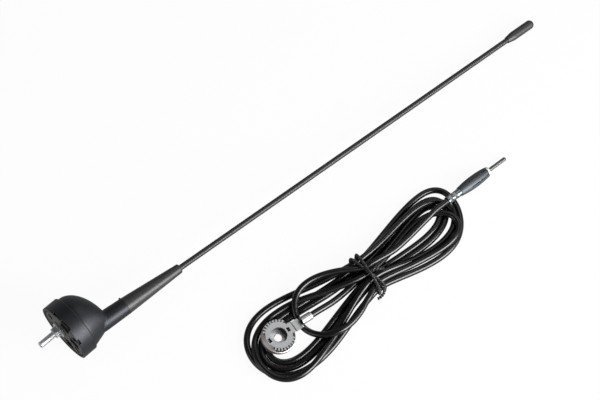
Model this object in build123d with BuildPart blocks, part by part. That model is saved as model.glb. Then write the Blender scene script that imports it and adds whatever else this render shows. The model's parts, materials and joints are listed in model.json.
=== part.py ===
"""Car mast aerial and its coaxial lead, lying on a flat surface as they come out of the bag.

Millimetres, +Z up from the surface, +X along the mast towards its tip. The origin is on the
surface, under the middle of the aerial. The aerial rests on the rim of its base and on its tip
cap, with the rake of its neck level. The lead lies beside it: a toothed roof clamp, a tied hank
of cable and the receiver plug.
"""

import os
from math import asin, cos, pi, radians, sin, sqrt, tan

from build123d import *

os.makedirs("parts", exist_ok=True)

# Clearances
RUN = 0.05            # between pieces that turn or slide on each other
FIT = 0.05            # between pieces that are pushed together

# Base cover
BASE_DIA = 47.0
BAND_HEIGHT = 11.8    # straight band above the seat
BAND_ROUND = 0.8
BAND_WALL = 2.6
STEP_INSET = 1.6      # the dome stands this far inside the band
STEP_HEIGHT = 1.5
DOME_RISE = 17.6      # from the step to the crown
DOME_WALL = 2.6
DOME_FRONT = 7.0      # where the long front slope of the dome reaches the neck
DOME_BACK = 4.0       # where the back of the dome ends, past the neck's axis
DOME_STATIONS = 7

# Neck and mast, measured along the raked mast axis from the neck root
NECK_OUT = 13.0       # neck root, sideways from the middle of the base
NECK_UP = 27.5        # neck root, above the seat
RAKE = 5.7            # lean of the mast away from the stud, degrees
STUB_LENGTH = 19.5    # fixed part of the neck
STUB_SINK = 11.5      # the stub starts this far inside the dome
STUB_ROOT_DIA = 14.8
STUB_FLARE = 0.4      # the stub widens by this on its way out of the dome
STUB_SHOULDER = 1.0   # and has its full width this far below the neck root
SEAM_NIB = 1.2        # small nib on the end of the stub
SEAM_NIB_RISE = 0.8
SEAM_NIB_AT = -157.0  # place of the nib round the neck, degrees
SEAM_DIA = 13.6       # where the screw-on ferrule meets the stub
FERRULE_LENGTH = 50.5
FERRULE_TIP_DIA = 7.6
FERRULE_LIP = 1.2
MAST_LENGTH = 446.7   # neck root to the end of the tip cap
ROD_DIA = 3.9
ROD_STOP = 3.5        # between the thread's head and the foot of the rod
CAP_LENGTH = 30.5
CAP_DIA = 7.8
CAP_COLLAR_DIA = 5.6
CAP_TAPER = 7.0       # length over which the cap swells from its collar
CAP_SOCKET = 18.0     # depth that the rod goes into the cap

# Thread between mast and base
THREAD_DIA = 5.0
THREAD_REACH = 12.0   # free threaded length below the ferrule
THREAD_HELD = 15.0    # length held in the ferrule
THREAD_HEAD_DIA = 7.0
THREAD_HEAD = 3.0
THREAD_POINT = 0.6
SOCKET_DIA = 8.6
SOCKET_LENGTH = 23.0

# Insert, gasket, stud, washer and nut in the underside
INSERT_DEPTH = 0.3    # the insert's face stands this far inside the rim
INSERT_TOP = 13.0
INSERT_WEB = 2.5      # left above the open pockets
BOSS_DIA = 13.6
GASKET_WIDTH = 1.4
GASKET_DEPTH = 2.5    # groove for the gasket, half in the rim and half in the insert
GASKET_SINK = 0.5     # its face stands this far inside the rim
NOTCH_DEPTH = 1.6     # notches in the rim, in front of the open pockets
NOTCH_LENGTH = 8.0    # more than the band is thick
NOTCHES = [(-36, 4.6), (-76, 9.0), (-106, 4.0)]  # degrees from the neck's side, width
# Pockets in the underside: degrees from the neck's side, width, distance in and out from the middle
POCKETS = [(-36, 4.6, 13, 22), (36, 4.6, 13, 19), (-76, 9.0, 9.5, 22), (76, 9.0, 9.5, 19),
           (0, 9.0, 6.5, 16.5), (152, 5.0, 13.5, 18), (-152, 5.0, 13.5, 18)]
POCKET_ROUND = 0.6
STUD_OUT = -4.6       # stud axis, sideways from the middle of the base
STUD_DIA = 5.0
STUD_REACH = 18.7     # stud end below the seat
STUD_POINT = 0.7
STUD_RELIEF = 0.8     # width of the shallow groove where the nut's stretch of thread ends
STUD_RELIEF_DEPTH = 0.3
STUD_HEAD_AF = 8.0
STUD_HEAD = 3.2
WASHER_DIA = 12.6
WASHER_BORE = 5.3
WASHER_THICK = 1.2
NUT_AF = 8.0
NUT_THICK = 4.0
NUT_CHAMFER = 0.5
NUT_CHAMFER_ANGLE = 30.0

# Contact strap between stud and mast socket
STRAP_THICK = 0.8
STRAP_WIDTH = 7.0
STRAP_TAIL = 4.0      # strap left past the stud's head
STRAP_STEP_OUT = 6.0  # where the strap turns up, sideways from the middle of the base
STRAP_BEND = 1.2
STRAP_PAST = 1.4      # strap left past the socket's axis

# Roof clamp on the lead, in the plane of its toothed plate
CLAMP_AT = (-103.4, -98.1, 11.4)
CLAMP_LEAN = 10.0     # tilt of the plate, degrees
CLAMP_LEAN_TO = -39.5 # direction that it leans towards, degrees from +X
CLAMP_TURN = -4.0     # direction of its tab, degrees from +X
PLATE_THICK = 1.1
PLATE_ROOT_DIA = 20.8
PLATE_TOOTH_DIA = 24.8
PLATE_BORE = 12.6
TOOTH_PITCH = 12.0
TOOTH_WIDTH = 1.2
TOOTH_FIRST = 42.0    # first tooth, degrees from the tab
TOOTH_ROW = 9
SLOT_OUT = 8.6
SLOT_LENGTH = 2.6
SLOT_WIDTH = 3.5
SLOT_POCKET = 2.4     # room left in the cup round each staked lug
SLOT_LAND = 0.3
LUG_LENGTH = 0.9
LUG_WIDTH = 1.5
LUG_SINK = 0.5
TAB_WIDTH = 8.4
TAB_FOLD = 12.4       # fold line, from the plate's middle
TAB_FOLD_RUN = 2.0
TAB_DROP = 2.0
TAB_END = 20.6
BARREL_DIA = 6.4
BARREL_LENGTH = 9.0
BARREL_NECK = 4.6
CUP_TOP_DIA = 20.0
CUP_DIA = 26.2
CUP_DEPTH = 8.0
CUP_SHOULDER = 2.0
CUP_ROUND = 1.4
CUP_BORE = 14.6
CUP_FLOOR = 0.8
CUP_HOLE = 11.0
BUSH_WALL = 0.9
BUSH_FLOOR = 0.8
BUSH_HOLE = 7.4
CONTACT_THICK = 0.7
CONTACT_HOLE = 6.1
TONGUE_AT = 145.0     # spring tongue of the contact, degrees from the tab
TONGUE_WIDTH = 3.2
TONGUE_RISE = 4.2
TONGUE_THICK = 0.6
TONGUE_SPAN = 2.4     # reach of its outline before it is trimmed to the wall

# Cable, hank and tie
CABLE_DIA = 5.0
ARC_SHARE = 0.45      # share of a run that a bend may take up
BARREL_LEAD = 8.0     # straight cable past the crimp barrel
FERR_LEAD = 12.0      # straight cable before the plug's ferrule
CLAMP_TAIL_END = (-51.5, -101.3, 4.4)
PLUG_TAIL_POINTS = [(9.5, -100.5, 9.2), (26.0, -98.8, 9.8), (42.5, -96.4, 10.4)]
TIE_DIA = 1.8
TIE_PITCH = 1.6
TIE_TAIL = 7.0
TIE_TAIL_DIR = (0.3, -1.0, 0.1)
TIE_AT = (-18.5, -101.5)
HANK_WAIST = 32.0
HANK_WAIST_REACH = 14.0
HANK_ROUND = 2.0
# Circles of the lobes and of their holes, from the tie: along, across, radius
HANK_LEFT = [(-86.5, 4.0, 26.0), (-70.0, 1.4, 31.5)]
HANK_RIGHT = [(78.2, 9.0, 20.0), (62.0, 5.9, 26.4)]
HANK_LEFT_HOLE = [(-84.5, 3.2, 15.8), (-40.0, 0.0, 6.0)]
HANK_RIGHT_HOLE = [(60.0, 8.0, 9.0), (38.0, 3.0, 5.0)]

# Plug, measured along its axis from the cable end of the crimp ferrule
PLUG_AT = (70.6, -94.0, 9.45)
PLUG_DROP = 6.3       # tilt down towards the pin, degrees
PLUG_TURN = 1.2       # heading, degrees from +X
FERR_LENGTH = 14.0
FERR_DIA = 6.6
FERR_GRIP = 6.0       # length of cable inside the ferrule
CRIMP_AF = 5.8        # across the flats of the two crimped bands
CRIMP_LENGTH = 2.6
CRIMP_STARTS = (1.6, 6.4)
SLEEVE_LENGTH = 30.0
SLEEVE_REAR_DIA = 7.6
SLEEVE_BULGE_DIA = 10.2
SLEEVE_FRONT_DIA = 8.4
SLEEVE_WALL = 0.7
SLEEVE_BULGE_AT = 15.5
SLIT_COUNT = 6
SLIT_FIRST = 23.0     # degrees
SLIT_WIDTH = 0.9
SLIT_START = 9.0
CORE_DIA = 5.2
CORE_DISC = 2.0
CORE_DISC_DIA = 7.8
PIN_DIA = 3.2
PIN_LENGTH = 20.5     # past the insulator
PIN_HELD = 16.0
PIN_SHANK_DIA = 2.2   # inside the insulator
PIN_ROUND = 1.4

# Lying pose of the aerial
base_r = BASE_DIA / 2
rake = radians(RAKE)
cap_reach = MAST_LENGTH - CAP_DIA / 2
level_reach = cap_reach + (NECK_UP - BAND_HEIGHT) * cos(rake) + NECK_OUT * sin(rake)
lie = asin((base_r - CAP_DIA / 2) / level_reach)
mast_dir = Vector(cos(lie), 0, -sin(lie))
side_dir = Vector(0, -1, 0)
stud_dir = mast_dir * cos(rake) - side_dir * sin(rake)
neck_dir = mast_dir * sin(rake) + side_dir * cos(rake)
root_from_seat = neck_dir * NECK_OUT + stud_dir * NECK_UP
stud_end_x = STUD_OUT * neck_dir.X - STUD_REACH * stud_dir.X - STUD_DIA / 2 * sqrt(1 - stud_dir.X**2)
tip_x = root_from_seat.X + MAST_LENGTH * mast_dir.X
seat_at = Vector(
    -(stud_end_x + tip_x) / 2,
    -BAND_HEIGHT * stud_dir.Y / 2,
    base_r * sqrt(1 - stud_dir.Z**2) - BAND_HEIGHT * stud_dir.Z,
)
SEAT = Plane(seat_at, x_dir=neck_dir, z_dir=stud_dir)
STUD = Plane(seat_at + neck_dir * STUD_OUT, x_dir=neck_dir, z_dir=stud_dir)
MAST = Plane(seat_at + root_from_seat, x_dir=side_dir, z_dir=mast_dir)

# Pose of the clamp and of the plug
lean = radians(CLAMP_LEAN)
lean_to = radians(CLAMP_LEAN_TO)
clamp_up = Vector(sin(lean) * cos(lean_to), sin(lean) * sin(lean_to), cos(lean))
tab_plan = Vector(cos(radians(CLAMP_TURN)), sin(radians(CLAMP_TURN)), 0)
tab_dir = (tab_plan - clamp_up * tab_plan.dot(clamp_up)).normalized()
CLAMP = Plane(CLAMP_AT, x_dir=tab_dir, z_dir=clamp_up)
plug_plan = Vector(cos(radians(PLUG_TURN)), sin(radians(PLUG_TURN)), 0)
plug_dir = plug_plan * cos(radians(PLUG_DROP)) - Vector(0, 0, sin(radians(PLUG_DROP)))
PLUG = Plane(PLUG_AT, x_dir=Vector(-plug_plan.Y, plug_plan.X, 0), z_dir=plug_dir)


def axis_of(plane):
    """The normal of a plane through its origin."""
    return Axis(plane.origin, plane.z_dir)


def section_of(plane):
    """The half plane of a turned piece: x is the radius and y runs along the axis."""
    return Plane(plane.origin, x_dir=plane.x_dir, z_dir=plane.x_dir.cross(plane.z_dir))


def save(builder, name):
    """Label a finished piece and write it under the same name."""
    builder.part.label = name
    export_step(builder.part, f"parts/{name}.step")


# Base cover: band, step, dome drawn over to the neck, and the fixed stub of the neck
dome_r = base_r - STEP_INSET
dome_foot = BAND_HEIGHT + STEP_HEIGHT
dome_back = NECK_OUT + DOME_BACK
stub_r = STUB_ROOT_DIA / 2
bore_r = base_r - BAND_WALL
groove_r = bore_r + GASKET_WIDTH / 2


def dome_circle(station, wall):
    """Height, middle and radius of the dome at one station, inside a wall of that thickness.

    The front follows a quarter of an ellipse from the step to the neck, and the back runs
    straight up into the neck.
    """
    turn = radians(90 * station / (DOME_STATIONS - 1))
    front = DOME_FRONT - (dome_r + DOME_FRONT) * cos(turn)
    back = dome_r + (dome_back - dome_r) * sin(turn)
    height = dome_foot + DOME_RISE * sin(turn)
    return height, (front + back) / 2, (back - front) / 2 - wall


with BuildPart() as base_cover:
    with BuildSketch(SEAT):
        Circle(base_r)
    extrude(amount=BAND_HEIGHT)
    fillet(base_cover.faces().sort_by(axis_of(SEAT))[-1].edges(), BAND_ROUND)
    with BuildSketch(SEAT):
        Circle(dome_r)
    extrude(amount=dome_foot)
    for station in range(DOME_STATIONS):
        height, middle, radius = dome_circle(station, 0)
        with BuildSketch(SEAT.offset(height)):
            with Locations((middle, 0)):
                Circle(radius)
    loft()
    with BuildSketch(section_of(MAST)):
        with BuildLine():
            Polyline(
                (0, -STUB_SINK),
                (stub_r - STUB_FLARE, -STUB_SINK),
                (stub_r, -STUB_SHOULDER),
                (SEAM_DIA / 2, STUB_LENGTH),
                (0, STUB_LENGTH),
                close=True,
            )
        make_face()
    revolve(axis=axis_of(MAST))
    with BuildSketch(MAST.offset(STUB_LENGTH)):
        with PolarLocations(SEAM_DIA / 2, 1, SEAM_NIB_AT):
            Rectangle(2 * SEAM_NIB_RISE, SEAM_NIB)
    extrude(amount=-SEAM_NIB)
    with BuildSketch(SEAT):
        Circle(bore_r)
    extrude(amount=INSERT_TOP, mode=Mode.SUBTRACT)
    with BuildSketch(SEAT):
        Circle(groove_r)
    extrude(amount=GASKET_DEPTH, mode=Mode.SUBTRACT)
    with BuildSketch(SEAT):
        for angle, width in NOTCHES:
            with PolarLocations(bore_r, 1, angle):
                Rectangle(NOTCH_LENGTH, width)
    extrude(amount=NOTCH_DEPTH, mode=Mode.SUBTRACT)
    for station in range(DOME_STATIONS - 2):
        height, middle, radius = dome_circle(station, DOME_WALL)
        with BuildSketch(SEAT.offset(height - DOME_WALL)):
            with Locations((middle, 0)):
                Circle(radius)
    loft(mode=Mode.SUBTRACT)
    with BuildSketch(MAST.offset(STUB_LENGTH)):
        Circle(SOCKET_DIA / 2 + FIT)
    extrude(amount=-SOCKET_LENGTH, mode=Mode.SUBTRACT)
save(base_cover, "base_cover")

# Insert that carries the stud, seated on the ledge inside the cover
insert_r = bore_r - FIT
face_r = bore_r - GASKET_WIDTH / 2
with BuildPart() as base_insert:
    with BuildSketch(SEAT.offset(INSERT_TOP)):
        Circle(insert_r)
    extrude(amount=GASKET_DEPTH - INSERT_TOP)
    with BuildSketch(SEAT.offset(INSERT_TOP)):
        Circle(face_r)
    extrude(amount=INSERT_DEPTH - INSERT_TOP)
    with BuildSketch(SEAT):
        for angle, width, start, end in POCKETS:
            with PolarLocations((start + end) / 2, 1, angle):
                RectangleRounded(end - start, width, POCKET_ROUND)
    extrude(amount=INSERT_TOP - INSERT_WEB, mode=Mode.SUBTRACT)
    with BuildSketch(STUD):
        Circle(BOSS_DIA / 2)
    extrude(amount=INSERT_TOP)
    with BuildSketch(STUD):
        Circle(STUD_DIA / 2 + FIT)
    extrude(amount=INSERT_TOP, mode=Mode.SUBTRACT)
save(base_insert, "base_insert")

# Rubber gasket in the groove between the rim and the insert
with BuildPart() as base_gasket:
    with BuildSketch(SEAT.offset(GASKET_SINK)):
        Circle(groove_r - FIT)
        Circle(face_r + FIT, mode=Mode.SUBTRACT)
    extrude(amount=GASKET_DEPTH - GASKET_SINK)
save(base_gasket, "base_gasket")

# Stud with its hexagon head clamping the contact strap on top of the insert
strap_top = INSERT_TOP + STRAP_THICK
nut_top = -(WASHER_THICK + 2 * RUN)
nut_foot = nut_top - NUT_THICK
with BuildPart() as stud:
    with BuildSketch(STUD.offset(-STUD_REACH)):
        Circle(STUD_DIA / 2)
    extrude(amount=STUD_REACH + strap_top)
    chamfer(stud.faces().sort_by(axis_of(STUD))[0].edges(), STUD_POINT)
    with BuildSketch(STUD.offset(strap_top)):
        RegularPolygon(STUD_HEAD_AF / 2, 6, major_radius=False)
    extrude(amount=STUD_HEAD)
    with BuildSketch(STUD.offset(nut_foot)):
        Circle(STUD_DIA)
        Circle(STUD_DIA / 2 - STUD_RELIEF_DEPTH, mode=Mode.SUBTRACT)
    extrude(amount=-STUD_RELIEF, mode=Mode.SUBTRACT)
save(stud, "stud")

# Washer and nut as supplied, run up against the insert
with BuildPart() as stud_washer:
    with BuildSketch(STUD.offset(-RUN)):
        Circle(WASHER_DIA / 2)
        Circle(WASHER_BORE / 2, mode=Mode.SUBTRACT)
    extrude(amount=-WASHER_THICK)
save(stud_washer, "stud_washer")

with BuildPart() as stud_nut:
    with BuildSketch(STUD.offset(nut_top)):
        RegularPolygon(NUT_AF / 2, 6, major_radius=False)
    extrude(amount=-NUT_THICK)
    with BuildSketch(section_of(STUD)):
        with BuildLine():
            corner = NUT_AF / sqrt(3)
            bevel = NUT_CHAMFER * tan(radians(NUT_CHAMFER_ANGLE))
            Polyline(
                (0, nut_top),
                (corner - NUT_CHAMFER, nut_top),
                (corner, nut_top - bevel),
                (corner, nut_foot + bevel),
                (corner - NUT_CHAMFER, nut_foot),
                (0, nut_foot),
                close=True,
            )
        make_face()
    revolve(axis=axis_of(STUD), mode=Mode.INTERSECT)
    with BuildSketch(STUD.offset(nut_top)):
        Circle(STUD_DIA / 2 + RUN)
    extrude(amount=-NUT_THICK, mode=Mode.SUBTRACT)
save(stud_nut, "stud_nut")

# Threaded brass socket in the neck stub
with BuildPart() as mast_socket:
    with BuildSketch(MAST.offset(STUB_LENGTH)):
        Circle(SOCKET_DIA / 2)
        Circle(THREAD_DIA / 2, mode=Mode.SUBTRACT)
    extrude(amount=-SOCKET_LENGTH)
save(mast_socket, "mast_socket")

# Contact strap: flat under the stud's head, stepped up to the foot of the mast socket
socket_foot = STUB_LENGTH - SOCKET_LENGTH
foot_x = NECK_OUT + socket_foot * sin(rake)
foot_z = NECK_UP + socket_foot * cos(rake)
strap_half = SOCKET_DIA / 2 + FIT
low = INSERT_TOP + STRAP_THICK / 2
high_x = foot_x - STRAP_THICK / 2 * sin(rake)
high_z = foot_z - STRAP_THICK / 2 * cos(rake)
STRAP_SECTION = Plane(SEAT.origin, x_dir=SEAT.x_dir, z_dir=SEAT.x_dir.cross(SEAT.z_dir))
with BuildPart() as contact_strap:
    with BuildSketch(STRAP_SECTION):
        with BuildLine() as strap_line:
            FilletPolyline(
                (STUD_OUT - STUD_HEAD_AF / 2 - STRAP_TAIL, low),
                (STRAP_STEP_OUT, low),
                (high_x - strap_half * cos(rake), high_z + strap_half * sin(rake)),
                (high_x + STRAP_PAST * cos(rake), high_z - STRAP_PAST * sin(rake)),
                radius=STRAP_BEND,
            )
        trace(strap_line.line, line_width=STRAP_THICK)
    extrude(amount=STRAP_WIDTH / 2, both=True)
    with BuildSketch(STUD.offset(INSERT_TOP)):
        Circle(STUD_DIA / 2 + FIT)
    extrude(amount=2 * STRAP_THICK, mode=Mode.SUBTRACT)
save(contact_strap, "contact_strap")

# Threaded end of the mast, held by its head in the ferrule
ferrule_foot = STUB_LENGTH + RUN
with BuildPart() as mast_thread_end:
    with BuildSketch(section_of(MAST)):
        with BuildLine():
            thread_r = THREAD_DIA / 2 - RUN
            Polyline(
                (0, ferrule_foot - THREAD_REACH),
                (thread_r - THREAD_POINT, ferrule_foot - THREAD_REACH),
                (thread_r, ferrule_foot - THREAD_REACH + THREAD_POINT),
                (thread_r, ferrule_foot + THREAD_HELD - THREAD_HEAD),
                (THREAD_HEAD_DIA / 2, ferrule_foot + THREAD_HELD - THREAD_HEAD),
                (THREAD_HEAD_DIA / 2, ferrule_foot + THREAD_HELD),
                (0, ferrule_foot + THREAD_HELD),
                close=True,
            )
        make_face()
    revolve(axis=axis_of(MAST))
save(mast_thread_end, "mast_thread_end")

# Tapered ferrule, moulded over the thread and the foot of the rod
ferrule_tip = ferrule_foot + FERRULE_LENGTH
rod_foot = ferrule_foot + THREAD_HELD + ROD_STOP
with BuildPart() as mast_ferrule:
    with BuildSketch(section_of(MAST)):
        with BuildLine():
            Polyline(
                (0, ferrule_foot),
                (SEAM_DIA / 2, ferrule_foot),
                (FERRULE_TIP_DIA / 2, ferrule_tip),
                (0, ferrule_tip),
                close=True,
            )
        make_face()
    revolve(axis=axis_of(MAST))
    fillet(mast_ferrule.faces().sort_by(axis_of(MAST))[-1].edges(), FERRULE_LIP)
    with BuildSketch(section_of(MAST)):
        with BuildLine():
            Polyline(
                (0, ferrule_foot),
                (THREAD_DIA / 2, ferrule_foot),
                (THREAD_DIA / 2, ferrule_foot + THREAD_HELD - THREAD_HEAD - RUN),
                (THREAD_HEAD_DIA / 2 + RUN, ferrule_foot + THREAD_HELD - THREAD_HEAD - RUN),
                (THREAD_HEAD_DIA / 2 + RUN, ferrule_foot + THREAD_HELD + RUN),
                (0, ferrule_foot + THREAD_HELD + RUN),
                close=True,
            )
        make_face()
    revolve(axis=axis_of(MAST), mode=Mode.SUBTRACT)
    with BuildSketch(MAST.offset(ferrule_tip)):
        Circle(ROD_DIA / 2 + FIT)
    extrude(amount=rod_foot - ferrule_tip, mode=Mode.SUBTRACT)
save(mast_ferrule, "mast_ferrule")

# Wound rod
cap_foot = MAST_LENGTH - CAP_LENGTH
rod_end = cap_foot + CAP_SOCKET
with BuildPart() as mast_rod:
    with BuildSketch(MAST.offset(rod_foot)):
        Circle(ROD_DIA / 2)
    extrude(amount=rod_end - rod_foot)
save(mast_rod, "mast_rod")

# Tip cap: tapered collar, slim barrel and round end
with BuildPart() as tip_cap:
    with BuildSketch(section_of(MAST)):
        with BuildLine():
            Polyline(
                (0, cap_foot),
                (CAP_COLLAR_DIA / 2, cap_foot),
                (CAP_DIA / 2, cap_foot + CAP_TAPER),
                (CAP_DIA / 2, cap_reach),
            )
            RadiusArc((CAP_DIA / 2, cap_reach), (0, MAST_LENGTH), -CAP_DIA / 2)
            Line((0, MAST_LENGTH), (0, cap_foot))
        make_face()
    revolve(axis=axis_of(MAST))
    with BuildSketch(MAST.offset(cap_foot)):
        Circle(ROD_DIA / 2 + FIT)
    extrude(amount=CAP_SOCKET, mode=Mode.SUBTRACT)
save(tip_cap, "tip_cap")

# Roof clamp: one stamping with a toothed plate, a folded tab and a crimp barrel
barrel_axis = BARREL_DIA / 2 - PLATE_THICK - TAB_DROP
barrel_bore = CABLE_DIA / 2 + FIT
BARREL = Plane(CLAMP.from_local_coords(Vector(TAB_END, 0, barrel_axis)), x_dir=CLAMP.y_dir, z_dir=CLAMP.x_dir)
TAB_SECTION = Plane(CLAMP.origin, x_dir=CLAMP.x_dir, z_dir=CLAMP.x_dir.cross(CLAMP.z_dir))
with BuildPart() as clamp_plate:
    with BuildSketch(CLAMP):
        Circle(PLATE_ROOT_DIA / 2)
        tooth_height = (PLATE_TOOTH_DIA - PLATE_ROOT_DIA) / 2
        tooth_span = TOOTH_PITCH * (TOOTH_ROW - 1)
        for first in (TOOTH_FIRST, -TOOTH_FIRST - tooth_span):
            with PolarLocations(PLATE_ROOT_DIA / 2, TOOTH_ROW, first, tooth_span, endpoint=True):
                Rectangle(2 * tooth_height, TOOTH_WIDTH)
        Circle(PLATE_BORE / 2, mode=Mode.SUBTRACT)
        with Locations((SLOT_OUT, 0), (-SLOT_OUT, 0)):
            Rectangle(SLOT_LENGTH, SLOT_WIDTH, mode=Mode.SUBTRACT)
    extrude(amount=-PLATE_THICK)
    with BuildSketch(TAB_SECTION):
        with BuildLine() as tab_line:
            Polyline(
                (SLOT_OUT + SLOT_LENGTH / 2, -PLATE_THICK / 2),
                (TAB_FOLD, -PLATE_THICK / 2),
                (TAB_FOLD + TAB_FOLD_RUN, -PLATE_THICK / 2 - TAB_DROP),
                (TAB_END, -PLATE_THICK / 2 - TAB_DROP),
            )
        trace(tab_line.line, line_width=PLATE_THICK)
    extrude(amount=TAB_WIDTH / 2, both=True)
    with BuildSketch(BARREL):
        Circle(BARREL_DIA / 2)
    extrude(amount=BARREL_LENGTH)
    with BuildSketch(TAB_SECTION):
        with BuildLine():
            Polyline(
                (TAB_END - PLATE_THICK, -PLATE_THICK - TAB_DROP),
                (TAB_END + PLATE_THICK, -PLATE_THICK - TAB_DROP),
                (TAB_END + PLATE_THICK, -TAB_DROP),
                (TAB_END - PLATE_THICK, -TAB_DROP),
                close=True,
            )
        make_face()
    extrude(amount=BARREL_NECK / 2, both=True)
    with BuildSketch(BARREL):
        Circle(barrel_bore)
    extrude(amount=BARREL_LENGTH, mode=Mode.SUBTRACT)
save(clamp_plate, "clamp_plate")

# Turned cup under the toothed plate, staked to it through the two slots
cup_foot = -CUP_DEPTH
bush_top = -PLATE_THICK - FIT
with BuildPart() as clamp_cup:
    with BuildSketch(section_of(CLAMP)):
        with BuildLine():
            Polyline(
                (CUP_BORE / 2, -PLATE_THICK),
                (CUP_TOP_DIA / 2, -PLATE_THICK),
                (CUP_DIA / 2, -PLATE_THICK - CUP_SHOULDER),
                (CUP_DIA / 2, cup_foot + CUP_ROUND),
                (CUP_DIA / 2 - CUP_ROUND, cup_foot),
                (CUP_HOLE / 2, cup_foot),
                (CUP_HOLE / 2, cup_foot + CUP_FLOOR),
                (CUP_BORE / 2, cup_foot + CUP_FLOOR),
                close=True,
            )
        make_face()
    revolve(axis=axis_of(CLAMP))
    with BuildSketch(CLAMP.offset(-PLATE_THICK)):
        with Locations((SLOT_OUT, 0), (-SLOT_OUT, 0)):
            Rectangle(SLOT_LENGTH - 2 * SLOT_LAND, SLOT_WIDTH)
    extrude(amount=-SLOT_POCKET, mode=Mode.SUBTRACT)
    with BuildSketch(CLAMP.offset(-PLATE_THICK - SLOT_POCKET)):
        with Locations((SLOT_OUT, 0), (-SLOT_OUT, 0)):
            Rectangle(LUG_LENGTH, LUG_WIDTH)
    extrude(amount=SLOT_POCKET + PLATE_THICK - LUG_SINK)
save(clamp_cup, "clamp_cup")

# Insulating bush that keeps the stud off the cup
bush_r = CUP_BORE / 2 - FIT
bush_inner = bush_r - BUSH_WALL
bush_floor = cup_foot + CUP_FLOOR
with BuildPart() as clamp_insulator:
    with BuildSketch(section_of(CLAMP)):
        with BuildLine():
            Polyline(
                (BUSH_HOLE / 2, bush_floor),
                (bush_r, bush_floor),
                (bush_r, bush_top),
                (bush_inner, bush_top),
                (bush_inner, bush_floor + BUSH_FLOOR),
                (BUSH_HOLE / 2, bush_floor + BUSH_FLOOR),
                close=True,
            )
        make_face()
    revolve(axis=axis_of(CLAMP))
save(clamp_insulator, "clamp_insulator")

# Centre contact: a washer on the floor of the bush, round the stud, with a spring tongue up its wall
contact_r = bush_inner - FIT
contact_foot = bush_floor + BUSH_FLOOR
with BuildPart() as centre_contact:
    with BuildSketch(CLAMP.offset(contact_foot)):
        Circle(contact_r)
    extrude(amount=CONTACT_THICK)
    with BuildSketch(CLAMP.offset(contact_foot)):
        with PolarLocations(contact_r, 1, TONGUE_AT):
            Rectangle(TONGUE_SPAN, TONGUE_WIDTH)
        Circle(contact_r, mode=Mode.INTERSECT)
        Circle(contact_r - TONGUE_THICK, mode=Mode.SUBTRACT)
    extrude(amount=TONGUE_RISE)
    with BuildSketch(CLAMP.offset(contact_foot)):
        Circle(CONTACT_HOLE / 2)
    extrude(amount=CONTACT_THICK, mode=Mode.SUBTRACT)
save(centre_contact, "centre_contact")

# Free stretches of the cable: straight runs joined by arcs as large as the runs allow
barrel_start = BARREL.origin + CLAMP.x_dir * PLATE_THICK
clamp_exit = BARREL.origin + CLAMP.x_dir * (BARREL_LENGTH + BARREL_LEAD)
CLAMP_ROUTE = [barrel_start, clamp_exit, Vector(CLAMP_TAIL_END)]
plug_entry = PLUG.origin - plug_dir * FERR_LEAD
ferrule_end = PLUG.origin + plug_dir * FERR_GRIP
PLUG_ROUTE = [Vector(point) for point in PLUG_TAIL_POINTS] + [plug_entry, ferrule_end]


def route_radii(points):
    """Arc radius at each inner point: a share of the shorter run over the tangent of half the turn."""
    radii = []
    for before, at, after in zip(points, points[1:], points[2:]):
        turn = radians((at - before).get_angle(after - at))
        shorter = min((at - before).length, (after - at).length)
        radii.append(ARC_SHARE * shorter / tan(turn / 2))
    return radii


def cable_tube(points, name):
    """Sweep the cable's section along a route and report its bends and its length."""
    radii = route_radii(points)
    with BuildPart() as tube:
        with BuildLine() as route:
            FilletPolyline(*points, radius=radii)
        path = route.wire()
        with BuildSketch(Plane(path @ 0, z_dir=path % 0)):
            Circle(CABLE_DIA / 2)
        sweep()
    expected = pi * CABLE_DIA**2 / 4 * path.length
    print(name, "radii", [round(radius, 1) for radius in radii], "length", round(path.length, 1),
          "volume", round(tube.part.volume, 1), "of", round(expected, 1))
    save(tube, name)


cable_tube(CLAMP_ROUTE, "lead_tail_clamp")
cable_tube(PLUG_ROUTE, "lead_tail_plug")

# Hank: two flat lobes of turns, piled two deep and bound at the waist
tie_x, tie_y = TIE_AT
waist_foot = TIE_DIA
tie_band = 2 * (TIE_PITCH + TIE_DIA)
waist_top = TIE_DIA + CABLE_DIA * (1 + sin(radians(60)))


def lobe(rounds):
    """Sketch the hull of a few circles given from the tie: along, across and radius."""
    for along, across, radius in rounds:
        with Locations((tie_x + along, tie_y + across)):
            Circle(radius)
    make_hull()


with BuildPart() as lead_hank:
    for rounds in (HANK_LEFT, HANK_RIGHT):
        with BuildSketch():
            lobe(rounds + [(0, 0, HANK_WAIST / 2)])
        extrude(amount=CABLE_DIA)
    fillet(lead_hank.faces().sort_by(Axis.Z)[-1].edges(), HANK_ROUND)
    with BuildSketch():
        lobe([(-HANK_WAIST_REACH, 0, HANK_WAIST / 2), (HANK_WAIST_REACH, 0, HANK_WAIST / 2)])
    extrude(amount=waist_top)
    fillet(lead_hank.faces().sort_by(Axis.Z)[-1].edges(), HANK_ROUND)
    for rounds in (HANK_LEFT_HOLE, HANK_RIGHT_HOLE):
        with BuildSketch():
            lobe(rounds)
        extrude(amount=waist_top, mode=Mode.SUBTRACT)
    with BuildSketch():
        with Locations((tie_x, tie_y)):
            Rectangle(tie_band, 2 * HANK_WAIST)
    extrude(amount=waist_foot + FIT, mode=Mode.SUBTRACT)
    with BuildSketch():
        with Locations((tie_x, tie_y)):
            Rectangle(tie_band, 2 * HANK_WAIST)
            Rectangle(tie_band, HANK_WAIST, mode=Mode.SUBTRACT)
    extrude(amount=waist_top, mode=Mode.SUBTRACT)
    with BuildSketch():
        with Locations((tie_x, tie_y)):
            Rectangle(tie_band, HANK_WAIST)
            Rectangle(tie_band, HANK_WAIST - TIE_DIA, mode=Mode.SUBTRACT)
    extrude(amount=waist_foot + TIE_DIA, mode=Mode.SUBTRACT)
save(lead_hank, "lead_hank")

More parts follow.
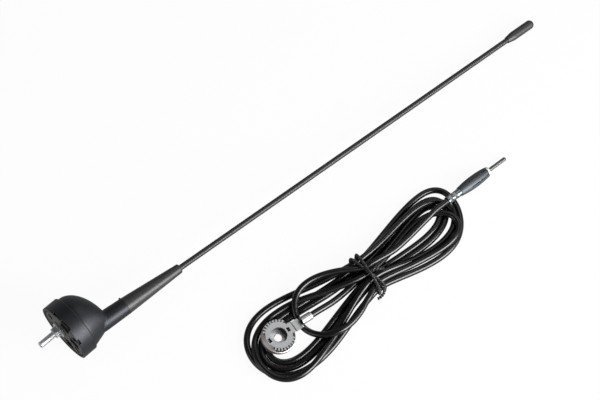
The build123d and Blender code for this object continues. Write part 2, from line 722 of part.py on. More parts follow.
# Tie: a coated wire wound twice round the waist with its ends twisted and left sticking out
tie_half = HANK_WAIST / 2 + TIE_DIA / 2 + FIT
tie_low = TIE_DIA / 2
tie_high = waist_top + TIE_DIA / 2 + FIT
with BuildPart() as wire_tie:
    for shift in (-TIE_PITCH / 2, TIE_PITCH / 2):
        with BuildLine(Plane.YZ.offset(tie_x + shift)) as loop:
            FilletPolyline(
                (tie_y - tie_half, tie_low),
                (tie_y + tie_half, tie_low),
                (tie_y + tie_half, tie_high),
                (tie_y - tie_half, tie_high),
                radius=TIE_DIA,
                close=True,
            )
        wire = loop.wire()
        with BuildSketch(Plane(wire @ 0, z_dir=wire % 0)):
            Circle(TIE_DIA / 2)
        sweep()
    tail_foot = Vector(tie_x, tie_y - tie_half, waist_top / 2)
    with BuildSketch(Plane(tail_foot, z_dir=Vector(TIE_TAIL_DIR))):
        Circle(TIE_DIA / 2 + TIE_PITCH / 4)
    extrude(amount=TIE_TAIL)
save(wire_tie, "wire_tie")

# Plug: crimp ferrule over the end of the cable, crimped twice
with BuildPart() as plug_ferrule:
    with BuildSketch(section_of(PLUG)):
        with BuildLine():
            Polyline(
                (CABLE_DIA / 2 + FIT, 0),
                (FERR_DIA / 2, 0),
                (FERR_DIA / 2, FERR_LENGTH),
                (CABLE_DIA / 2 + FIT, FERR_LENGTH),
                close=True,
            )
        make_face()
    revolve(axis=axis_of(PLUG))
    for start in CRIMP_STARTS:
        with BuildSketch(PLUG.offset(start)):
            Circle(FERR_DIA)
            RegularPolygon(CRIMP_AF / 2, 6, major_radius=False, mode=Mode.SUBTRACT)
        extrude(amount=CRIMP_LENGTH, mode=Mode.SUBTRACT)
save(plug_ferrule, "plug_ferrule")

# Slotted spring sleeve of the plug
sleeve_foot = FERR_LENGTH
sleeve_end = sleeve_foot + SLEEVE_LENGTH
bulge_at = sleeve_foot + SLEEVE_BULGE_AT
with BuildPart() as plug_sleeve:
    with BuildSketch(section_of(PLUG)):
        with BuildLine():
            Spline(
                (SLEEVE_REAR_DIA / 2, sleeve_foot),
                (SLEEVE_BULGE_DIA / 2, bulge_at),
                (SLEEVE_FRONT_DIA / 2, sleeve_end),
            )
            Polyline(
                (SLEEVE_FRONT_DIA / 2, sleeve_end),
                (SLEEVE_FRONT_DIA / 2 - SLEEVE_WALL, sleeve_end),
            )
            Spline(
                (SLEEVE_FRONT_DIA / 2 - SLEEVE_WALL, sleeve_end),
                (SLEEVE_BULGE_DIA / 2 - SLEEVE_WALL, bulge_at),
                (SLEEVE_REAR_DIA / 2 - SLEEVE_WALL, sleeve_foot),
            )
            Line((SLEEVE_REAR_DIA / 2 - SLEEVE_WALL, sleeve_foot), (SLEEVE_REAR_DIA / 2, sleeve_foot))
        make_face()
    revolve(axis=axis_of(PLUG))
    with BuildSketch(PLUG.offset(sleeve_foot + SLIT_START)):
        with PolarLocations(0, SLIT_COUNT, SLIT_FIRST):
            Rectangle(SLEEVE_BULGE_DIA, SLIT_WIDTH, align=(Align.MIN, Align.CENTER))
    extrude(amount=SLEEVE_LENGTH, mode=Mode.SUBTRACT)
save(plug_sleeve, "plug_sleeve")

# White insulator: a core inside the sleeve with a disc at its mouth
core_foot = sleeve_foot + SLEEVE_WALL
disc_front = sleeve_end + CORE_DISC
with BuildPart() as plug_insulator:
    with BuildSketch(section_of(PLUG)):
        with BuildLine():
            Polyline(
                (PIN_SHANK_DIA / 2 + FIT, core_foot),
                (CORE_DIA / 2, core_foot),
                (CORE_DIA / 2, sleeve_end),
                (CORE_DISC_DIA / 2, sleeve_end),
                (CORE_DISC_DIA / 2, disc_front),
                (PIN_SHANK_DIA / 2 + FIT, disc_front),
                close=True,
            )
        make_face()
    revolve(axis=axis_of(PLUG))
save(plug_insulator, "plug_insulator")

# Centre pin of the plug, shouldered against the insulator's disc
with BuildPart() as plug_pin:
    with BuildSketch(PLUG.offset(disc_front)):
        Circle(PIN_DIA / 2)
    extrude(amount=PIN_LENGTH)
    fillet(plug_pin.faces().sort_by(axis_of(PLUG))[-1].edges(), PIN_ROUND)
    with BuildSketch(PLUG.offset(disc_front)):
        Circle(PIN_SHANK_DIA / 2)
    extrude(amount=-PIN_HELD)
save(plug_pin, "plug_pin")
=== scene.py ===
"""Car mast aerial and its lead, dressed for a plain studio picture.

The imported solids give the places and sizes. This script adds the finishes, the lead's cable as one
tied cord, the twisted wire of its tie, the screw threads and the winding of the mast's rod.
Lengths are metres in the frame of the solids: +Z up from the floor, +X along the mast to its tip.
"""

import json
from math import cos, pi, radians, sin

import bmesh
import bpy
import numpy as np
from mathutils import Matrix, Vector


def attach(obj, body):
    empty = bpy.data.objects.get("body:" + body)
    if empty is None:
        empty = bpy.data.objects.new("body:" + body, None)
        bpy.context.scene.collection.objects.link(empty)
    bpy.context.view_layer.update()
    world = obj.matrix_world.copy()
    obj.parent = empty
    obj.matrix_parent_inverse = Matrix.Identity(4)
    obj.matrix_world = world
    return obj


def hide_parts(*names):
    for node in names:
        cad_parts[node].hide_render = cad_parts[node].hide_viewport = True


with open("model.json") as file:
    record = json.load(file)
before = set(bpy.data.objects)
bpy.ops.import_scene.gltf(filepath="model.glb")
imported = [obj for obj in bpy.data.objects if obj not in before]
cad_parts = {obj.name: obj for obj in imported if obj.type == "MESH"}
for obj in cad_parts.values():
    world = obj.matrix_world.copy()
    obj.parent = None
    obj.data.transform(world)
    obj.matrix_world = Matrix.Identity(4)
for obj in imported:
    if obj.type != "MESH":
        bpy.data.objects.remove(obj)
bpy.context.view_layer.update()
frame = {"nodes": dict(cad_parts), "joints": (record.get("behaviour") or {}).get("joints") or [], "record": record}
NODES = frame["nodes"]
JOINTS = {joint["name"]: joint for joint in frame["joints"]}
MOUNTS = {mount["name"]: mount for mount in frame["record"]["mounts"]}
MM = 0.001


def unit(vector):
    """The vector scaled to a length of one."""
    vector = np.asarray(vector, float)
    return vector / np.linalg.norm(vector)


# Axes of the aerial and of the lead's end pieces, read from the frame
MAST_AXIS = unit(JOINTS["mast_turn"]["axis"])
NECK_ROOT = np.array(JOINTS["mast_turn"]["pos_m"])
STUD_AXIS = -unit(JOINTS["nut_turn"]["axis"])
STUD_SEAT = np.array(JOINTS["nut_turn"]["pos_m"])
CLAMP_UP = unit(MOUNTS["clamp_bore"]["axis"])
PLUG_AXIS = unit(MOUNTS["plug_pin"]["axis"])

# Camera: where the photograph was taken from
VIEW_AZIMUTH = radians(-39.5)
VIEW_ELEVATION = radians(62.0)
VIEW_DISTANCE = 1.001
VIEW_TARGET = Vector((-0.0152, -0.0155, 0.0))
PICTURE_WIDTH_PX = 600
FOCAL_PX = 1255
SENSOR_MM = 36.0


def link(piece):
    """Put an object into the scene."""
    bpy.context.scene.collection.objects.link(piece)
    return piece


def make_camera():
    """A camera on a sphere round its target, given by azimuth, elevation and distance."""
    back = Vector((
        sin(VIEW_AZIMUTH) * cos(VIEW_ELEVATION),
        -cos(VIEW_AZIMUTH) * cos(VIEW_ELEVATION),
        sin(VIEW_ELEVATION),
    ))
    lens = bpy.data.cameras.new("camera")
    lens.sensor_width = SENSOR_MM
    lens.lens = FOCAL_PX * SENSOR_MM / PICTURE_WIDTH_PX
    camera = link(bpy.data.objects.new("camera", lens))
    camera.location = VIEW_TARGET + back * VIEW_DISTANCE
    camera.rotation_euler = back.to_track_quat("Z", "Y").to_euler()
    bpy.context.scene.camera = camera


# Lead: the free ends repeat the route of the solids, from the crimp barrel and to the plug
CABLE_DIA = 5.0 * MM
CORD_SMOOTHNESS = 4   # steps of the curve between two points
CORD_ROUNDNESS = 8    # bevel resolution of its section
CLAMP_TAIL = MM * np.array([
    (-81.935, -99.298, 8.447), (-66.217, -100.167, 6.211), (-51.5, -101.3, 4.4),
])
PLUG_TAIL = MM * np.array([
    (9.5, -100.5, 9.2), (26.0, -98.8, 9.8), (42.5, -96.4, 10.4),
    (58.675, -94.25, 10.767), (76.562, -93.875, 8.792),
])
TIE_AT = MM * np.array([-18.5, -101.5, 0.0])
WAIST_LEAD = MM * np.array([-36.0, -101.0, 4.3])  # the clamp's tail on its way into the tie

# Places of the eleven passes under the tie, in the order in which they are wound: across in mm, layer
PASSES = [(2.6, 0), (-2.6, 0), (7.8, 0), (-7.8, 0), (13.0, 0), (-13.0, 0),
          (10.4, 1), (-5.2, 1), (0.0, 1), (-10.4, 1), (5.2, 1)]
LAYER_HEIGHT = (5.1 * MM, 9.4 * MM)
# Lobes to the right and left of the tie, as wound: reach, half width, lean in degrees, the power with
# which it leans, height on the way out, height on the way back, shape, dip at the far end; lengths in mm
RIGHT_LOBES = [
    (83.2, 9.3, 6.3, 2.0, 2.5, 2.5, 1.9, 0.0),
    (89.0, 14.6, 6.0, 2.0, 2.5, 2.5, 1.45, 0.0),
    (96.3, 23.9, 7.7, 4.5, 2.5, 2.5, 1.3, 0.0),
    (89.8, 16.2, 2.4, 2.0, 7.0, 2.5, 1.5, 0.0),
    (86.3, 15.1, -3.7, 2.0, 7.0, 7.0, 1.5, 0.0),
]
LEFT_LOBES = [
    (99.0, 15.4, -2.3, 1.0, 2.5, 2.5, 1.8, 0.0),
    (103.5, 19.6, -2.9, 1.0, 2.5, 2.5, 1.7, 0.0),
    (110.5, 27.9, 0.2, 1.0, 2.5, 2.5, 1.5, 0.0),
    (110.4, 24.6, -4.6, 1.0, 6.2, 3.0, 1.5, -0.8),
    (64.5, 23.5, 0.0, 1.0, 7.5, 9.5, 0.85, 5.0),
]
DIP_SHAPE = 8         # power of cos t by which a dip fades
RISE_FROM = 4.0       # a lobe changes its height from this far past its end, in degrees of t
RISE_OVER = 18.0      # and over this many degrees
GAP_IN_WIDTH = 0.65   # share of half the gap that counts in a lobe's half width
EASE_RATE = 2.0       # the height has eased to the lobe's own where cos t is one over this
LOBE_POINTS = 29
POINT_STEP = 3.3 * MM
HELD_POINTS = 9       # points at each end that stay where the solids have them
EASING_ROUNDS = 3     # rounds that take the corners off the wound route
SETTLE_ROUNDS = 400
LOOK_AGAIN = 10       # rounds between two searches for strands that lie close together
LOOK_WITHIN = 1.8 * CABLE_DIA
SAME_STRAND = 6.0 * CABLE_DIA  # points nearer than this along the cable don't push each other
BELL_WIDTH = 2.2      # of the curve that evens out the moves, in points
PUSH_SHARE = 0.3      # share of an overlap that strands move apart in a round
CLEAR_SHARE = 0.5     # share of an overlap with the clamp or the plug that is cleared in a round
SINK = 0.05 * MM      # fall in a round
KEEP_MOVE = 0.995     # share of a sideways move that is kept from round to round
CLAMP_POINTS = 14     # first points, which the clamp holds and so doesn't push off
PLUG_POINTS = 12      # last points, likewise with the plug
TINY = 1e-9           # keeps lengths above nought

# What the turns lie round: the clamp with its barrel, and the plug
PLATE_OVER_CONTACT = 6.05 * MM
CLAMP_AT = np.array(MOUNTS["clamp_bore"]["pos_m"]) + PLATE_OVER_CONTACT * CLAMP_UP
TAB_HEADING = radians(-4.0)
TAB_PLAN = np.array([cos(TAB_HEADING), sin(TAB_HEADING), 0.0])
TAB_DIR = unit(TAB_PLAN - CLAMP_UP * (TAB_PLAN @ CLAMP_UP))
CUP_RADIUS = 13.1 * MM
CUP_DEPTH = 8.0 * MM
TAB_RADIUS = 2.4 * MM
TAB_FROM, TAB_FROM_UP = 13 * MM, -2.4 * MM
TAB_TO, TAB_TO_UP = 29 * MM, 0.1 * MM
TAB_LINE = np.array([
    CLAMP_AT + TAB_FROM * TAB_DIR + TAB_FROM_UP * CLAMP_UP,
    CLAMP_AT + TAB_TO * TAB_DIR + TAB_TO_UP * CLAMP_UP,
])
PLUG_RADIUS = 3.3 * MM
PLUG_HOLD = 6 * MM    # length of cable inside the plug
PLUG_LENGTH = 44 * MM
PLUG_AT = PLUG_TAIL[-1] - PLUG_HOLD * PLUG_AXIS
PLUG_LINE = np.array([PLUG_AT, PLUG_AT + PLUG_LENGTH * PLUG_AXIS])


def smooth_step(value):
    """Rise smoothly from nought to one as the value does: 3 v^2 - 2 v^3, held at both ends."""
    value = np.clip(value, 0, 1)
    return value * value * (3 - 2 * value)


def lobe(reach, half_width, lean, bow, height_out, height_back, shape, dip, start, end, side):
    """One lobe of the hank from the tie and back to it, as points from the tie.

    With t from 90 to -90 degrees, along = reach cos t and across = sin t (gap + swell cos^shape t),
    which is half the gap between its two passes at the tie and swells to the half width further out.
    It lies about the middle of the two passes, which fades by (1 - cos t)^2, and leans by an angle at
    its far end, less by a power of the distance further in. Its height eases from the pass to the
    lobe's own, which may change just past its far end, less a dip that fades by a power of cos t.
    """
    t = np.radians(np.linspace(90, -90, LOBE_POINTS))
    out = np.clip(np.cos(t), 0, 1)
    across_in, layer_in = start
    across_out, layer_out = end
    gap = abs(across_in - across_out) / 2
    widest = np.arctan(shape ** -0.5)
    peak = np.sin(widest) * np.cos(widest) ** shape
    swell = (half_width - GAP_IN_WIDTH * gap) / peak
    middle = (across_in + across_out) / 2 * (1 - out) ** 2
    along = reach * out
    across = middle + np.sign(across_in - across_out) * np.sin(t) * (gap + swell * out ** shape)
    across = across + reach * sin(radians(lean)) * out ** bow
    ease = smooth_step(EASE_RATE * out)
    change = smooth_step((-np.degrees(t) - RISE_FROM) / RISE_OVER)
    height = height_out + (height_back - height_out) * change - dip * out ** DIP_SHAPE
    passes = LAYER_HEIGHT[layer_in] / MM, LAYER_HEIGHT[layer_out] / MM
    pass_height = np.linspace(*passes, LOBE_POINTS)
    points = np.stack([side * along, across, pass_height * (1 - ease) + height * ease], axis=1)
    return points[:-1] * MM


def even_steps(points):
    """The same line with points an even step apart, by length along it."""
    lengths = np.concatenate([[0], np.cumsum(np.linalg.norm(np.diff(points, axis=0), axis=1))])
    places = np.linspace(0, lengths[-1], int(lengths[-1] / POINT_STEP) + 1)
    return np.stack([np.interp(places, lengths, points[:, axis]) for axis in range(3)], axis=1)


def wound_route():
    """The cable before it settles, as points from the tie: clamp tail, ten lobes in turn, plug tail."""
    turns = []
    for number, (right, left) in enumerate(zip(RIGHT_LOBES, LEFT_LOBES)):
        first, second, third = PASSES[2 * number:2 * number + 3]
        turns.append(lobe(*right, first, second, 1))
        turns.append(lobe(*left, second, third, -1))
    across, layer = PASSES[-1]
    last_pass = [[0.0, across * MM, LAYER_HEIGHT[layer]]]
    turns = np.concatenate(turns)[1:]
    clamp_tail = [CLAMP_TAIL - TIE_AT, [WAIST_LEAD - TIE_AT]]
    plug_tail = [last_pass, PLUG_TAIL - TIE_AT]
    return even_steps(np.concatenate([*clamp_tail, turns, *plug_tail]))


def off_line(points, line, radius):
    """How far each point has to move to clear a round bar: its radius and half a cable from its axis."""
    start, end = line
    run = end - start
    share = np.clip((points - start) @ run / (run @ run), 0, 1)
    away = points - start - share[:, None] * run
    distance = np.maximum(np.linalg.norm(away, axis=1), TINY)
    depth = np.clip(radius + CABLE_DIA / 2 - distance, 0, None)
    return away * (depth / distance)[:, None]


def off_cup(points):
    """How far each point has to move to clear the cup: out from its side or down from its foot.

    Of the two ways it goes the shorter, by what is missing from half a cable's clearance. What is above
    the plate stays.
    """
    from_plate = points - CLAMP_AT
    height = from_plate @ CLAMP_UP
    outward = from_plate - height[:, None] * CLAMP_UP
    radius = np.maximum(np.linalg.norm(outward, axis=1), TINY)
    beside = radius - CUP_RADIUS
    below = -CUP_DEPTH - height
    both = np.hypot(np.maximum(beside, 0), np.maximum(below, 0))
    clear = np.where((beside > 0) & (below > 0), both, np.maximum(beside, below))
    depth = np.where(height > 0, 0, np.clip(CABLE_DIA / 2 - clear, 0, None))
    move = np.where((beside > below)[:, None], outward / radius[:, None], -CLAMP_UP)
    return move * depth[:, None]


# Tie: the room that it leaves the cable at the waist
WAIST_HALF = 13.4 * MM
WAIST_TOP = 9.7 * MM
WAIST_OPENING = 12.0  # the room grows by this times the square of the distance along, per metre
WAIST_REACH = 22.0 * MM
TIE_WIRE_DIA = 2.6 * MM
TIE_REACH = 8.0 * MM  # length along which the wire under the waist lifts the cable


def hold_waist(points):
    """Keep points on the floor, on the wire under the waist, and within the room that the tie leaves.

    The room's half width and height grow with the square of the distance from the tie.
    """
    square = points[:, 0] ** 2
    lift = np.clip(1 - square / TIE_REACH ** 2, 0, 1)
    low = CABLE_DIA / 2 + TIE_WIRE_DIA * lift
    in_reach = np.abs(points[:, 0]) < WAIST_REACH
    half = np.where(in_reach, WAIST_HALF + WAIST_OPENING * square, np.inf)
    high = np.where(in_reach, WAIST_TOP + WAIST_OPENING * square, np.inf)
    across = np.clip(points[:, 1], -half, half)
    return np.stack([points[:, 0], across, np.minimum(np.maximum(points[:, 2], low), high)], axis=1)


def settled_route():
    """The cable at rest on the floor, worked out in rounds.

    In each round strands that share room push each other apart, the clamp and the plug push them off,
    and all sink a little. The moves are evened out along the cable by a bell curve, so it bends but
    never kinks, and the tie holds the waist to its width and height.
    """
    route = wound_route()
    count = len(route)
    number = np.arange(count)
    held = (number < HELD_POINTS) | (number >= count - HELD_POINTS)
    eased = route.copy()
    for _ in range(EASING_ROUNDS):
        eased[1:-1] = (eased[:-2] + 2 * eased[1:-1] + eased[2:]) / 4
        eased[held] = route[held]
    route = eased
    bell = np.exp(-0.5 * ((number[:, None] - number[None, :]) / BELL_WIDTH) ** 2)
    bell = bell / bell.sum(axis=1, keepdims=True)
    one, other = np.triu_indices(count, k=int(SAME_STRAND / POINT_STEP))
    past_clamp = number >= CLAMP_POINTS
    short_of_plug = number < count - PLUG_POINTS
    moved = np.zeros_like(route)
    for turn in range(SETTLE_ROUNDS):
        points = route + moved
        if turn % LOOK_AGAIN == 0:
            close = np.linalg.norm(points[one] - points[other], axis=1) < LOOK_WITHIN
            near, far = one[close], other[close]
        apart = points[near] - points[far]
        distance = np.maximum(np.linalg.norm(apart, axis=1), TINY)
        push = apart * (PUSH_SHARE * np.clip(CABLE_DIA - distance, 0, None) / distance)[:, None]
        np.add.at(moved, near, push)
        np.add.at(moved, far, -push)
        placed = points + TIE_AT
        moved[past_clamp] += CLEAR_SHARE * off_cup(placed[past_clamp])
        moved[past_clamp] += CLEAR_SHARE * off_line(placed[past_clamp], TAB_LINE, TAB_RADIUS)
        moved[short_of_plug] += CLEAR_SHARE * off_line(placed[short_of_plug], PLUG_LINE, PLUG_RADIUS)
        moved[:, 2] -= SINK
        moved[:, :2] *= KEEP_MOVE
        moved[held] = 0
        points = route + bell @ moved
        moved = hold_waist(points) - route
        moved[held] = 0
    return route + moved + TIE_AT


def lead_cable(look):
    """The lead as one NURBS cord whose control points are the settled ones."""
    route = settled_route()
    length = float(np.linalg.norm(np.diff(route, axis=0), axis=1).sum())
    curve = bpy.data.curves.new("lead_cable", "CURVE")
    curve.dimensions = "3D"
    spline = curve.splines.new("NURBS")
    spline.points.add(len(route) - 1)
    spline.points.foreach_set("co", np.column_stack([route, np.ones(len(route))]).ravel())
    spline.order_u = 3
    spline.use_endpoint_u = True
    spline.resolution_u = CORD_SMOOTHNESS
    curve.bevel_depth = CABLE_DIA / 2
    curve.bevel_resolution = CORD_ROUNDNESS
    curve.use_fill_caps = True
    curve.materials.append(look)
    cable = link(bpy.data.objects.new("lead_cable", curve))
    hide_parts("lead_tail_clamp", "lead_tail_plug", "lead_hank")
    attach(cable, "base")
    return cable, route[0], length


# Surfaces: grids of points made into meshes
WELD = 1e-7           # points nearer than this become one
ASKEW = (0.0, 1.0, 0.3)  # a direction well off every axis that something is turned about


def grid_piece(name, grids, look):
    """A mesh of one or more grids of points, rows by columns, each quad joining neighbours.

    The last column joins the first. Rows of equal points close into a pole.
    """
    corners = []
    quads = []
    start = 0
    for grid in grids:
        rows, columns = grid.shape[:2]
        index = np.arange(rows * columns).reshape(rows, columns) + start
        beside = np.roll(index, -1, axis=1)
        quad = np.stack([index[:-1], beside[:-1], beside[1:], index[1:]], axis=-1)
        quads.append(quad.reshape(-1, 4))
        corners.append(grid.reshape(-1, 3))
        start += rows * columns
    mesh = bpy.data.meshes.new(name)
    mesh.from_pydata(np.concatenate(corners), [], np.concatenate(quads))
    work = bmesh.new()
    work.from_mesh(mesh)
    bmesh.ops.remove_doubles(work, verts=work.verts, dist=WELD)
    bmesh.ops.recalc_face_normals(work, faces=work.faces)
    work.to_mesh(mesh)
    work.free()
    mesh.materials.append(look)
    mesh.polygons.foreach_set("use_smooth", np.ones(len(mesh.polygons), bool))
    return link(bpy.data.objects.new(name, mesh))


def turned_grid(radius, height, origin, axis, columns):
    """Points round an axis, rows by columns: origin + radius (across cos + beside sin) + height axis."""
    angle = np.linspace(0, 2 * pi, columns, endpoint=False)
    across = unit(np.cross(axis, ASKEW))
    beside = np.cross(axis, across)
    round_it = np.cos(angle)[:, None] * across + np.sin(angle)[:, None] * beside
    radius, height = np.broadcast_arrays(radius, height)
    return origin + radius[..., None] * round_it + height[..., None] * axis


def closed_bar(radius, height, origin, axis):
    """A turned bar of radii in rows by columns and a height for each row, closed by a pole at each end."""
    columns = radius.shape[1]
    pole = np.zeros((1, columns))
    radius = np.concatenate([pole, radius, pole])
    height = np.concatenate([height[:1], height, height[-1:]])
    return turned_grid(radius, height, origin, axis, columns)


# Screw threads: M5, as on the stud and on the mast's end
THREAD_PITCH = 0.8 * MM
THREAD_DEPTH = 0.10 * MM
THREAD_STEEPNESS = 1.3  # of the wave before it is clipped flat at crest and root
THREAD_FLAT = 0.15
THREAD_COLUMNS = 32
THREAD_ROWS = 8       # rows to one pitch


def thread_radius(height, crest, angle):
    """Radius of a right-hand thread: crest less depth times a clipped triangle wave of height and angle."""
    phase = height / THREAD_PITCH - angle / (2 * pi)
    wave = np.abs(2 * (phase - np.floor(phase)) - 1)
    return crest - THREAD_DEPTH * np.clip(THREAD_STEEPNESS * wave - THREAD_FLAT, 0, 1)


def threaded_grid(low, high, crest, point, origin, axis):
    """A threaded bar from low to high along an axis, its lower end chamfered at 45 degrees.

    Its radius is the thread's or, where that is less, crest - point + height above the lower end.
    """
    rows = int((high - low) / THREAD_PITCH * THREAD_ROWS)
    height = np.linspace(low, high, rows)[:, None]
    angle = np.linspace(0, 2 * pi, THREAD_COLUMNS, endpoint=False)[None, :]
    radius = np.minimum(thread_radius(height, crest, angle), crest - point + (height - low))
    return closed_bar(radius, height, origin, axis)


def disc_grid(low, high, radius, origin, axis, columns=THREAD_COLUMNS):
    """A plate between two heights: rings of radius nought, rim, rim and nought.

    The rim's radius is a number or one value for each column.
    """
    rim = np.broadcast_to(radius, (columns,))
    radii = np.stack([np.zeros(columns), rim, rim, np.zeros(columns)])
    return turned_grid(radii, np.array([low, low, high, high])[:, None], origin, axis, columns)


# Stud: its length below and above the seat, radius, chamfer, and half the width and height of its head
STUD_REACH = 18.7 * MM
STUD_TOP = 13.8 * MM
STUD_CREST = 2.5 * MM
STUD_POINT = 0.7 * MM
STUD_HEAD_HALF = 4.0 * MM
STUD_HEAD = 3.2 * MM
HEAD_COLUMNS = 48


def stud_piece(look):
    """The stud: a threaded bar with a hexagon head.

    The hexagon's rim lies at half its width over flats / cos of the angle from a flat's middle.
    """
    shank = threaded_grid(-STUD_REACH, STUD_TOP, STUD_CREST, STUD_POINT, STUD_SEAT, STUD_AXIS)
    angle = np.linspace(0, 2 * pi, HEAD_COLUMNS, endpoint=False)
    rim = STUD_HEAD_HALF / np.cos(np.mod(angle, pi / 3) - pi / 6)
    head = disc_grid(STUD_TOP, STUD_TOP + STUD_HEAD, rim, STUD_SEAT, STUD_AXIS, HEAD_COLUMNS)
    piece = grid_piece("threaded_stud", [shank, head], look)
    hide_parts("stud")
    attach(piece, "base")


# Threaded end of the mast: the seam's place on the mast's axis, lengths below and above it, and the rest
# as for the stud
SEAM_AT = 19.55 * MM
THREAD_END_REACH = 12.0 * MM
THREAD_END_HELD = 15.0 * MM
THREAD_END_CREST = 2.45 * MM
THREAD_END_POINT = 0.6 * MM
THREAD_HEAD_RADIUS = 3.5 * MM
THREAD_HEAD = 3.0 * MM


def mast_thread_piece(look):
    """The mast's threaded end, with its round head inside the ferrule."""
    top = SEAM_AT + THREAD_END_HELD
    low = SEAM_AT - THREAD_END_REACH
    neck = top - THREAD_HEAD
    bar = threaded_grid(low, neck, THREAD_END_CREST, THREAD_END_POINT, NECK_ROOT, MAST_AXIS)
    head = disc_grid(neck, top, THREAD_HEAD_RADIUS, NECK_ROOT, MAST_AXIS)
    piece = grid_piece("mast_thread", [bar, head], look)
    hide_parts("mast_thread_end")
    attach(piece, "mast_thread")


# Rod of the mast: a wire wound round a core, seen through its thin sheath
ROD_RADIUS = 2.3 * MM
ROD_FOOT = 38.05 * MM
ROD_END = 434.2 * MM
WINDING_PITCH = 1.9 * MM
WINDING_DEPTH = 0.16 * MM
WINDING_ROWS = 9      # rows to one pitch
ROD_COLUMNS = 18


def rod_piece(look):
    """The rod with its row of round ridges.

    Its radius is the rod's less depth (1 - |cos(pi (height / pitch - angle / turn))|).
    """
    rows = int((ROD_END - ROD_FOOT) / WINDING_PITCH * WINDING_ROWS)
    height = np.linspace(ROD_FOOT, ROD_END, rows)[:, None]
    angle = np.linspace(0, 2 * pi, ROD_COLUMNS, endpoint=False)[None, :]
    ridge = np.abs(np.cos(pi * height / WINDING_PITCH - angle / 2))
    radius = ROD_RADIUS - WINDING_DEPTH * (1 - ridge)
    piece = grid_piece("wound_rod", [closed_bar(radius, height, NECK_ROOT, MAST_AXIS)], look)
    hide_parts("mast_rod")
    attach(piece, "mast")


# Wire tie: a twisted pair of coated wires, wound twice round the waist, its ends twisted together
STRAND_RADIUS = 0.68 * MM
STRAND_ORBIT = 0.6 * MM
TWIST_PITCH = 5.0 * MM
TIE_HALF = 17.3 * MM
TIE_MIDDLE = 7.5 * MM
TIE_RISE = 6.15 * MM
TIE_SQUARENESS = 4.0
BUMP_POWER = 4
LOOP_POINTS = 360
END_POINTS = 60
STRAND_COLUMNS = 10
ALONG_LEAD = (0.94, 0.2, 0.27)  # mostly along the lead, so no loop runs along it anywhere
# How the two loops cross, in mm: along at the far side, along at the near side, extra height on top
TIE_LOOPS = [(-3.2, 2.4, 0.0), (2.6, -2.8, 1.8)]
# The two ends of the wire, in mm from the tie: twisted into a knot on top, and left sticking out
KNOT_POINTS = [(1.2, -1.5, 14.4), (4.2, -2.6, 15.6), (7.4, -4.4, 14.8), (10.4, -5.2, 14.0)]
TAIL_POINTS = [(1.2, -16.6, 9.6), (0.4, -18.6, 6.8), (-2.2, -19.2, 3.6), (-5.6, -18.6, 1.6)]


def tie_loop(far, near, extra):
    """A closed loop round the waist: a squared oval that slides along from the far to the near side.

    across = half |cos|^(2/n), up = rise |sin|^(2/n) with their signs, and the top rises by a bump,
    extra sin^4 cos(across / half * 90 degrees).
    """
    turn = np.linspace(0, 2 * pi, LOOP_POINTS)
    power = 2 / TIE_SQUARENESS
    across = TIE_HALF * np.sign(np.cos(turn)) * np.abs(np.cos(turn)) ** power
    up = TIE_RISE * np.sign(np.sin(turn)) * np.abs(np.sin(turn)) ** power
    share = (1 - across / TIE_HALF) / 2
    along = (far + (near - far) * share) * MM
    bump = extra * MM * np.clip(np.sin(turn), 0, 1) ** BUMP_POWER * np.cos(across / TIE_HALF * pi / 2)
    return np.stack([along, across, TIE_MIDDLE + up + bump], axis=1) + TIE_AT


def smooth_line(points, count):
    """Points along the Catmull-Rom curve through a few given ones, a cubic in t from each to the next."""
    points = np.asarray(points, float)
    ends = np.concatenate([[2 * points[0] - points[1]], points, [2 * points[-1] - points[-2]]])
    place = np.linspace(0, len(points) - 1 - TINY, count)
    at = place.astype(int)
    t = (place - at)[:, None]
    a, b, c, d = (ends[at + step] for step in range(4))
    square = (2 * a - 5 * b + 4 * c - d) * t ** 2
    cube = (3 * b - a - 3 * c + d) * t ** 3
    return 0.5 * (2 * b + (c - a) * t + square + cube)


def across_line(line, closed):
    """Two directions across a line at each of its points: beside it and over it."""
    ahead = np.gradient(line, axis=0)
    if closed:
        ahead[[0, -1]] = line[1] - line[-2]
    ahead = ahead / np.linalg.norm(ahead, axis=1, keepdims=True)
    side = np.cross(ahead, ALONG_LEAD)
    side = side / np.linalg.norm(side, axis=1, keepdims=True)
    return side, np.cross(side, ahead)


def tube_grid(line, radius, columns, closed):
    """A round tube: a circle across the line at each of its points, closed at free ends by poles."""
    side, over = across_line(line, closed)
    angle = np.linspace(0, 2 * pi, columns, endpoint=False)[None, :, None]
    tube = line[:, None] + radius * (np.cos(angle) * side[:, None] + np.sin(angle) * over[:, None])
    if closed:
        return tube
    ends = np.broadcast_to(line[:, None], tube.shape)
    return np.concatenate([ends[:1], tube, ends[-1:]])


def twisted_pair(line, closed=False):
    """Two strands round a line: each orbits it once in a twist pitch, half a turn from the other."""
    side, over = across_line(line, closed)
    run = np.concatenate([[0], np.cumsum(np.linalg.norm(np.diff(line, axis=0), axis=1))])
    turns = max(1, round(run[-1] / TWIST_PITCH)) if closed else run[-1] / TWIST_PITCH
    strands = []
    for start in (0, pi):
        angle = (start + 2 * pi * turns * run / run[-1])[:, None]
        strand = line + STRAND_ORBIT * (np.cos(angle) * side + np.sin(angle) * over)
        strands.append(tube_grid(strand, STRAND_RADIUS, STRAND_COLUMNS, closed))
    return strands


def tie_piece(look):
    """The tie: two crossing loops, the knot twisted from its ends and one end left sticking out."""
    grids = []
    for loop in TIE_LOOPS:
        grids += twisted_pair(tie_loop(*loop), closed=True)
    for points in (KNOT_POINTS, TAIL_POINTS):
        grids += twisted_pair(smooth_line(np.array(points) * MM + TIE_AT, END_POINTS))
    piece = grid_piece("twisted_tie", grids, look)
    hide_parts("wire_tie")
    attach(piece, "base")
    return piece


